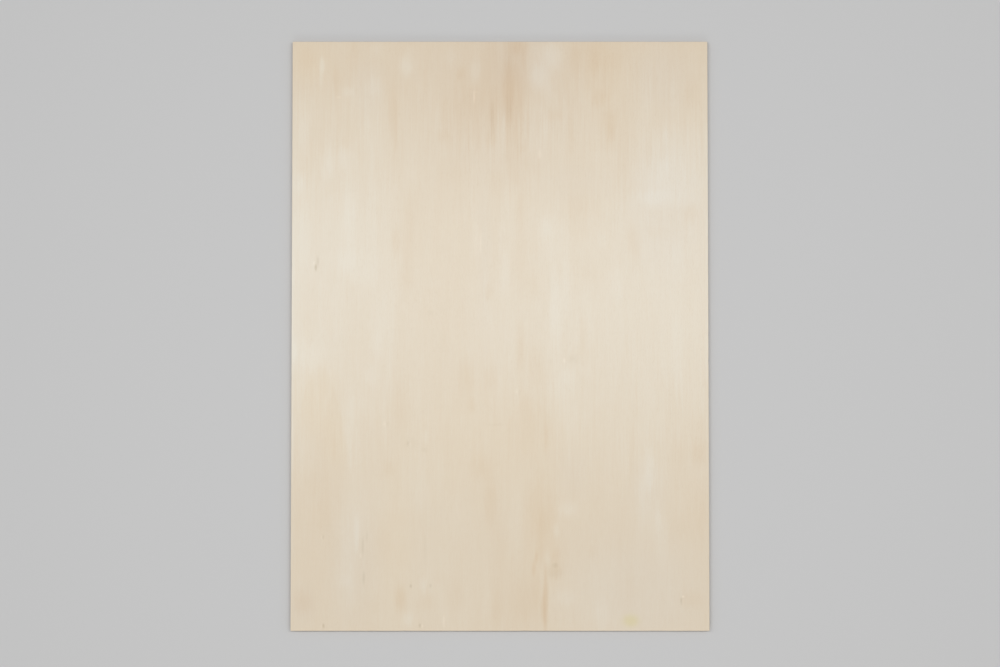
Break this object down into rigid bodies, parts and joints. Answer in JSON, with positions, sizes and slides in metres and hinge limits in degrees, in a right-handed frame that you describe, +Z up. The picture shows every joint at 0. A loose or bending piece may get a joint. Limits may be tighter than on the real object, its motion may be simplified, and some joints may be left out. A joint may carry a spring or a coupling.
{
  "type": "plywood sheet",
  "caption": "Flat rectangular sheet of pale sanded craft plywood, its face grain along its length, for cutting, joining, painting and model making.",
  "frame": {"origin": "middle of the back face, which lies on the floor", "axes": "+Y along the face grain and the sheet's length, +X across the grain, +Z up through the plies to the front face"},
  "size_m": [0.297, 0.42, 0.004],
  "materials": {
    "plywood": "matte"
  },
  "bodies": {
    "root": {"plywood_sheet": "plywood"}
  },
  "joints": []
}
